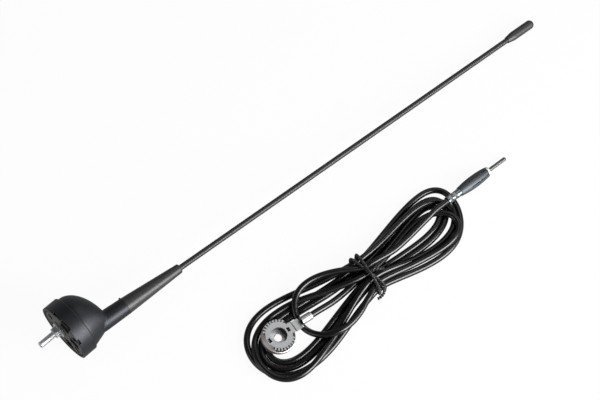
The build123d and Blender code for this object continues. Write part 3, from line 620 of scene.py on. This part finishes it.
# Shader maths: expressions on sockets
class Field:
    """A socket of a material's tree. Arithmetic on it adds Math nodes, and node adds any other."""

    def __init__(self, tree, socket):
        self.tree = tree
        self.socket = socket

    def node(self, kind, settings=None, inputs=None, output=0):
        """Add a node: its settings are set first, then its sockets are given values or links."""
        made = self.tree.nodes.new(kind)
        for key, value in (settings or {}).items():
            setattr(made, key, value)
        for key, value in (inputs or {}).items():
            if isinstance(value, Field):
                self.tree.links.new(value.socket, made.inputs[key])
            else:
                made.inputs[key].default_value = value
        return Field(self.tree, made.outputs[output]) if made.outputs else None

    def math(self, operation, *values):
        """A Math node on numbers and fields."""
        return self.node("ShaderNodeMath", {"operation": operation}, dict(enumerate(values)))

    def __add__(self, other):
        return self.math("ADD", self, other)

    __radd__ = __add__

    def __sub__(self, other):
        return self.math("SUBTRACT", self, other)

    def __rsub__(self, other):
        return self.math("SUBTRACT", other, self)

    def __mul__(self, other):
        return self.math("MULTIPLY", self, other)

    __rmul__ = __mul__

    def __pow__(self, other):
        return self.math("POWER", self, other)

    def between(self, low, high):
        """A mask that goes smoothly from nought at low to one at high; low may be the greater."""
        settings = {"interpolation_type": "SMOOTHSTEP"}
        return self.node("ShaderNodeMapRange", settings, {0: self, 1: low, 2: high, 3: 0.0, 4: 1.0})

    def noise(self, size, detail=2.0, roughness=0.5):
        """Noise about nought to one over this place, with features of a given size in metres."""
        inputs = {"Vector": self, "Scale": 1 / size, "Detail": detail, "Roughness": roughness}
        return self.node("ShaderNodeTexNoise", None, inputs)

    def blend(self, low, high):
        """A colour between two, by this mask; 6, 7 and output 2 are the Mix node's colours."""
        return self.node("ShaderNodeMix", {"data_type": "RGBA"}, {0: self, 6: low, 7: high}, 2)

    def bump(self, strength, depth, normal=None):
        """A normal raised by this height, up to a depth in metres, over another normal if one is given."""
        inputs = {"Height": self, "Strength": strength, "Distance": depth}
        return self.node("ShaderNodeBump", None, inputs if normal is None else inputs | {"Normal": normal})


def start_look(name):
    """A new material with an empty tree, and the piece's own coordinates in it."""
    look = bpy.data.materials.new(name)
    look.use_nodes = True
    look.node_tree.nodes.clear()
    coordinates = look.node_tree.nodes.new("ShaderNodeTexCoord")
    return look, Field(look.node_tree, coordinates.outputs["Object"])


def finish_look(look, place, inputs):
    """Close a material with a Principled shader whose sockets get values or fields."""
    shader = place.node("ShaderNodeBsdfPrincipled", None, inputs)
    place.node("ShaderNodeOutputMaterial", None, {"Surface": shader})
    return look


def grey(value):
    """A neutral colour."""
    return (value, value, value, 1)


def dot(one, other):
    """The dot product of a field and another one or a constant direction."""
    return one.node("ShaderNodeVectorMath", {"operation": "DOT_PRODUCT"}, {0: one, 1: other}, "Value")


# Edges: how far a rounding turns the normal, as 1 - cos, where an edge begins to show and shows fully
EDGE_FROM, EDGE_FULL = 0.01, 0.16
BEVEL_SAMPLES = 6
NOISE_MIDDLE = 0.5


def rounded_normal(place, radius):
    """The normal that the piece would have if its edges were rounded by a radius."""
    return place.node("ShaderNodeBevel", {"samples": BEVEL_SAMPLES}, {"Radius": radius})


def edge_mask(place, radius):
    """One on edges sharper than a rounding of that radius, nought on plain faces."""
    rounded = rounded_normal(place, radius)
    true = place.node("ShaderNodeNewGeometry", None, None, "Normal")
    return (1 - dot(rounded, true)).between(EDGE_FROM, EDGE_FULL)


# Moulded plastic: what makes it paler (tint: clouding, and a painted highlight on edges), what changes its
# roughness (dulling, polish), and its relief
PLASTIC_IOR = 1.55
CLOUD_SIZE = 9 * MM
POLISH_AND_HIGHLIGHT_EDGE = 0.5 * MM
CLOUD_TINT, EDGE_HIGHLIGHT_TINT = 0.6, 0.4
CLOUD_DULLING, EDGE_POLISH = 0.14, 0.10
PORE_STRENGTH, PORE_DEPTH = 0.35, 0.06 * MM


def moulded_plastic(name, dark, pale, grain, rough, soften=0.3 * MM, sheen=grey(1.0)):
    """Moulded plastic: eroded texture, faint clouding, soft corners, and slightly polished edges that carry a
    painted highlight.
    """
    look, place = start_look(name)
    cloud = place.noise(CLOUD_SIZE, detail=3.0)
    pores = place.noise(grain, roughness=0.6)
    edges = edge_mask(place, POLISH_AND_HIGHLIGHT_EDGE)
    soft = rounded_normal(place, soften)
    inputs = {
        # Paler edges are a painted highlight; their lower roughness is polish
        "Base Color": (CLOUD_TINT * cloud + EDGE_HIGHLIGHT_TINT * edges).blend(dark, pale),
        "Roughness": rough + CLOUD_DULLING * (cloud - NOISE_MIDDLE) - EDGE_POLISH * edges,
        "Normal": pores.bump(PORE_STRENGTH, PORE_DEPTH, soft),
        "IOR": PLASTIC_IOR,
        "Specular Tint": sheen,
    }
    return finish_look(look, place, inputs)


# Plated metal: the same for its crystals, marks and worn edges, which a painted highlight also brightens
CRYSTAL_SIZE = 0.9 * MM
MARK_SIZE = 0.6 * MM
WORN_HIGHLIGHT_EDGE = 0.25 * MM
CRYSTAL_TINT, WORN_HIGHLIGHT_TINT = 0.55, 0.7
CRYSTAL_DULLING, MARK_DULLING, WORN_POLISH = 0.16, 0.10, 0.12
CRYSTAL_RELIEF, MARK_RELIEF = 0.5, 0.5
PLATING_DEPTH = 0.03 * MM


def plated_metal(name, dark, pale, rough, relief=0.22):
    """Plated metal: cloudy crystals in the plating, faint marks from handling, and worn edges brightened by a
    painted highlight.
    """
    look, place = start_look(name)
    crystals = place.noise(CRYSTAL_SIZE, detail=3.0, roughness=0.65)
    marks = place.noise(MARK_SIZE)
    edges = edge_mask(place, WORN_HIGHLIGHT_EDGE)
    dulling = rough + CRYSTAL_DULLING * (crystals - NOISE_MIDDLE) + MARK_DULLING * (marks - NOISE_MIDDLE)
    inputs = {
        # Brighter edges: wear, and a painted highlight
        "Base Color": (CRYSTAL_TINT * crystals + WORN_HIGHLIGHT_TINT * edges).blend(dark, pale),
        "Metallic": 1.0,
        "Roughness": dulling - WORN_POLISH * edges,
        "Normal": (CRYSTAL_RELIEF * crystals + MARK_RELIEF * marks).bump(relief, PLATING_DEPTH),
    }
    return finish_look(look, place, inputs)


# Turned metal of the cup, with a painted shade under the teeth
CUP_DARK = (0.60, 0.56, 0.54, 1)
CUP_PALE = (0.90, 0.85, 0.83, 1)
# colour of the painted shade in the recess under the teeth
PAINTED_SHADE = (0.012, 0.011, 0.010, 1)
RING_SIZE = 1.2 * MM
RING_STRETCH = 6      # how many times finer the rings are than that
RING_STRENGTH, RING_DEPTH = 0.15, 0.03 * MM
CUP_ROUGH, RING_DULLING, SHADE_DULLING = 0.36, 0.18, 0.3
# Painted shade, black where the plate's teeth overhang the cup: where it begins and is full, by height from the
# plate, radius and distance away from the tab
SHADE_HEIGHT = (-5.0 * MM, -4.5 * MM)
SHADE_RADIUS = (12.9 * MM, 12.6 * MM)
SHADE_SIDE = (9.2 * MM, 8.7 * MM)


def turned_cup():
    """The cup under the clamp: warm metal with turned rings, and a black painted shade in the recess under the
    teeth.

    Its painted shade follows the height along the axis, the distance from it, sqrt(d^2 - height^2), and the
    distance on the side away from the tab, where the plate has no teeth and no shade is painted.
    """
    look, place = start_look("cup_look")
    from_plate = place.node("ShaderNodeVectorMath", {"operation": "SUBTRACT"}, {0: place, 1: CLAMP_AT})
    height = dot(from_plate, CLAMP_UP)
    distance = place.node("ShaderNodeVectorMath", {"operation": "LENGTH"}, {0: from_plate}, "Value")
    radius = (distance ** 2 - height ** 2) ** 0.5
    turning = place.node("ShaderNodeCombineXYZ", None, {0: RING_STRETCH * height, 1: RING_STRETCH * radius})
    rings = turning.noise(RING_SIZE, detail=3.0, roughness=0.6)
    from_tab = dot(from_plate, -TAB_DIR)
    # Painted shade: the cup turns black, matt and not metal in the recess under the teeth
    painted_shade = height.between(*SHADE_HEIGHT) * radius.between(*SHADE_RADIUS)
    painted_shade = painted_shade * from_tab.between(*SHADE_SIDE)
    inputs = {
        "Base Color": painted_shade.blend(rings.blend(CUP_DARK, CUP_PALE), PAINTED_SHADE),
        "Metallic": 1 - painted_shade,
        "Roughness": CUP_ROUGH + RING_DULLING * rings + SHADE_DULLING * painted_shade,
        "Normal": rings.bump(RING_STRENGTH, RING_DEPTH),
    }
    return finish_look(look, place, inputs)


# Sheath of the cable
SHEATH_DARK = (0.0025, 0.0025, 0.003, 1)
SHEATH_PALE = (0.005, 0.005, 0.006, 1)
WAVE_SIZE = 7 * MM
DUST_SIZE = 0.5 * MM
DUST_FROM, DUST_FULL = 0.55, 0.8  # noise at which dust begins to dull the sheath and does so fully
SHEATH_ROUGH, WAVE_DULLING, DUST_DULLING = 0.24, 0.06, 0.06
WAVE_RELIEF, DUST_RELIEF = 0.9, 0.1
SHEATH_STRENGTH, SHEATH_DEPTH = 0.02, 0.08 * MM


def cable_sheath():
    """Glossy PVC sheath: near black, with slight waves from the extruder and fine dulling dust."""
    look, place = start_look("cable_sheath")
    waves = place.noise(WAVE_SIZE)
    dust = place.noise(DUST_SIZE, detail=3.0, roughness=0.7)
    dusty = dust.between(DUST_FROM, DUST_FULL)
    inputs = {
        "Base Color": waves.blend(SHEATH_DARK, SHEATH_PALE),
        "Roughness": SHEATH_ROUGH + WAVE_DULLING * waves + DUST_DULLING * dusty,
        "Normal": (WAVE_RELIEF * waves + DUST_RELIEF * dust).bump(SHEATH_STRENGTH, SHEATH_DEPTH),
    }
    return finish_look(look, place, inputs)


# Coating of the tie's wire
COATING_DARK = (0.020, 0.020, 0.021, 1)
COATING_PALE = (0.060, 0.058, 0.060, 1)
RUB_SIZE = 1.6 * MM
RUB_FROM, RUB_FULL = 0.4, 0.75
COATING_ROUGH, RUB_DULLING = 0.34, 0.2
RUB_STRENGTH, RUB_DEPTH = 0.2, 0.05 * MM


def wire_coating():
    """Soft black coating of the tie's wire, a little paler where it is bent and rubbed."""
    look, place = start_look("wire_coating")
    rub = place.noise(RUB_SIZE, detail=3.0)
    inputs = {
        "Base Color": rub.between(RUB_FROM, RUB_FULL).blend(COATING_DARK, COATING_PALE),
        "Roughness": COATING_ROUGH + RUB_DULLING * rub,
        "Normal": rub.bump(RUB_STRENGTH, RUB_DEPTH),
    }
    return finish_look(look, place, inputs)


def make_looks():
    """Every finish, by the name of the slot that it dresses."""
    return {
        "base_plastic": moulded_plastic(
            "base_plastic_look", (0.004, 0.0042, 0.005, 1), (0.009, 0.0095, 0.011, 1),
            grain=0.32 * MM, rough=0.48, soften=0.8 * MM, sheen=(0.87, 0.91, 1.0, 1)),
        "neck_plastic": moulded_plastic(
            "neck_look", grey(0.024), grey(0.036), grain=0.32 * MM, rough=0.45, soften=0.25 * MM),
        "insert_plastic": moulded_plastic(
            "insert_look", (0.045, 0.042, 0.039, 1), (0.09, 0.085, 0.08, 1), grain=0.5 * MM, rough=0.5),
        "gasket_rubber": moulded_plastic(
            "gasket_look", (0.014, 0.012, 0.010, 1), (0.034, 0.028, 0.022, 1), grain=0.7 * MM, rough=0.7),
        "mast_black": moulded_plastic(
            "rod_look", (0.011, 0.011, 0.012, 1), (0.028, 0.028, 0.03, 1), grain=0.25 * MM, rough=0.42),
        "zinc_steel": plated_metal(
            "zinc_look", (0.62, 0.63, 0.65, 1), (0.86, 0.87, 0.88, 1), rough=0.48, relief=0.05),
        "brass": plated_metal(
            "brass_look", (0.55, 0.40, 0.18, 1), (0.78, 0.62, 0.34, 1), rough=0.3),
        "clamp_steel": plated_metal(
            "clamp_look", (0.50, 0.51, 0.52, 1), (0.90, 0.91, 0.92, 1), rough=0.44),
        "cup_metal": turned_cup(),
        "bush_plastic": moulded_plastic(
            "bush_look", (0.010, 0.007, 0.006, 1), (0.026, 0.018, 0.015, 1), grain=0.4 * MM, rough=0.45),
        "cable_black": cable_sheath(),
        "tie_black": wire_coating(),
        "plug_metal": plated_metal(
            "plug_look", (0.15, 0.165, 0.17, 1), (0.46, 0.48, 0.49, 1), rough=0.32),
        "sleeve_steel": plated_metal(
            "sleeve_look", (0.085, 0.095, 0.105, 1), (0.19, 0.20, 0.215, 1), rough=0.6),
        "pin_steel": plated_metal(
            "pin_look", (0.12, 0.123, 0.126, 1), (0.25, 0.256, 0.262, 1), rough=0.45, relief=0.1),
        "plug_white": moulded_plastic(
            "plug_white_look", (0.70, 0.69, 0.66, 1), (0.82, 0.81, 0.79, 1), grain=0.5 * MM, rough=0.4),
    }


# Solids that stay in view, by the slot that dresses them
SLOT_NODES = {
    "base_plastic": ["base_cover"],
    "neck_plastic": ["mast_ferrule", "tip_cap"],
    "insert_plastic": ["base_insert"],
    "gasket_rubber": ["base_gasket"],
    "zinc_steel": ["stud_washer", "stud_nut", "centre_contact"],
    "brass": ["mast_socket", "contact_strap"],
    "clamp_steel": ["clamp_plate"],
    "cup_metal": ["clamp_cup"],
    "bush_plastic": ["clamp_insulator"],
    "plug_metal": ["plug_ferrule"],
    "pin_steel": ["plug_pin"],
    "sleeve_steel": ["plug_sleeve"],
    "plug_white": ["plug_insulator"],
}


def dress_nodes(looks):
    """Give each solid that stays in view the finish of its slot."""
    for slot_name, names in SLOT_NODES.items():
        for name in names:
            NODES[name].material_slots[0].material = looks[slot_name]


# Studio: a white floor, a surround with a dim ceiling, and soft boxes on the right, the left and overhead
FLOOR_HALF = 4.0
PAPER = 0.86          # brightness of the floor as the object's light finds it
SURROUND = 0.12       # light from the surround on the object
MIRROR_FLOOR = 0.45   # brightness of floor, horizon and ceiling in shiny surfaces
MIRROR_HORIZON = 0.35
MIRROR_CEILING = 0.07
CEILING_FROM, CEILING_FULL = 0.15, 0.8  # sines of the elevations between which it dims
FLOOR_GLOW = 0.95     # share of plain white in the floor that the camera sees
# Lamps: name, direction from the middle, distance, size, power
LAMPS = [
    ("key_box", (0.29, -0.85, 0.42), 1.3, (0.8, 0.7), 30.0),
    ("left_box", (-0.85, 0.15, 0.42), 1.5, (0.9, 0.6), 3.0),
    ("top_box", (0.53, 0.17, 0.83), 1.6, (0.7, 0.7), 2.5),
]


def soft_box(name, direction, distance, size, power):
    """A rectangular lamp that faces the middle of the picture from a direction."""
    direction = Vector(direction)
    lamp = bpy.data.lights.new(name, "AREA")
    lamp.shape = "RECTANGLE"
    lamp.size, lamp.size_y = size
    lamp.energy = power
    box = link(bpy.data.objects.new(name, lamp))
    box.location = VIEW_TARGET + direction.normalized() * distance
    box.rotation_euler = direction.to_track_quat("Z", "Y").to_euler()


def ray_kinds(place):
    """Two masks: what the camera sees by itself, and what it sees in a mirror finish or through glass."""
    path = place.tree.nodes.new("ShaderNodeLightPath")
    camera, glossy, through = (Field(place.tree, path.outputs[f"Is {kind} Ray"])
                               for kind in ("Camera", "Glossy", "Transmission"))
    return camera, glossy.math("MAXIMUM", glossy, through)


def make_floor():
    """A floor that is white to the eye, keeps a soft shadow and is dimmer in shiny surfaces."""
    look, place = start_look("floor_look")
    camera, mirror = ray_kinds(place)
    paper = place.node("ShaderNodeBsdfDiffuse", None, {"Color": grey(PAPER)})
    glow = place.node("ShaderNodeEmission", None, {"Color": grey(1.0), "Strength": 1.0})
    dim = place.node("ShaderNodeEmission", None, {"Color": grey(1.0), "Strength": MIRROR_FLOOR})
    seen = place.node("ShaderNodeMixShader", None, {0: FLOOR_GLOW * camera, 1: paper, 2: glow})
    both = place.node("ShaderNodeMixShader", None, {0: mirror, 1: seen, 2: dim})
    place.node("ShaderNodeOutputMaterial", None, {"Surface": both})
    corners = FLOOR_HALF * np.array([(-1, -1, 0), (1, -1, 0), (1, 1, 0), (-1, 1, 0)], float)
    mesh = bpy.data.meshes.new("floor")
    mesh.from_pydata(corners, [], [(0, 1, 2, 3)])
    mesh.materials.append(look)
    link(bpy.data.objects.new("floor", mesh))


def make_surround():
    """A surround that is white to the eye, gives a little light and dims upwards in shiny surfaces."""
    world = bpy.data.worlds.new("surround")
    bpy.context.scene.world = world
    world.use_nodes = True
    tree = world.node_tree
    tree.nodes.clear()
    place = Field(tree, tree.nodes.new("ShaderNodeTexCoord").outputs["Generated"])
    camera, mirror = ray_kinds(place)
    up = place.node("ShaderNodeSeparateXYZ", None, {0: place}, "Z")
    ceiling = up.between(CEILING_FROM, CEILING_FULL)
    reflected = MIRROR_HORIZON - (MIRROR_HORIZON - MIRROR_CEILING) * ceiling
    strength = SURROUND + (1 - SURROUND) * camera + (reflected - SURROUND) * mirror
    pale = place.node("ShaderNodeBackground", None, {"Color": grey(1.0), "Strength": strength})
    place.node("ShaderNodeOutputWorld", None, {"Surface": pale})


make_camera()
looks = make_looks()
cable, cable_start, cable_length = lead_cable(looks["cable_black"])
dress_nodes(looks)
tie = tie_piece(looks["tie_black"])
stud_piece(looks["zinc_steel"])
mast_thread_piece(looks["zinc_steel"])
rod_piece(looks["mast_black"])
make_floor()
make_surround()
for lamp in LAMPS:
    soft_box(*lamp)
bpy.context.scene.view_settings.view_transform = "Standard"
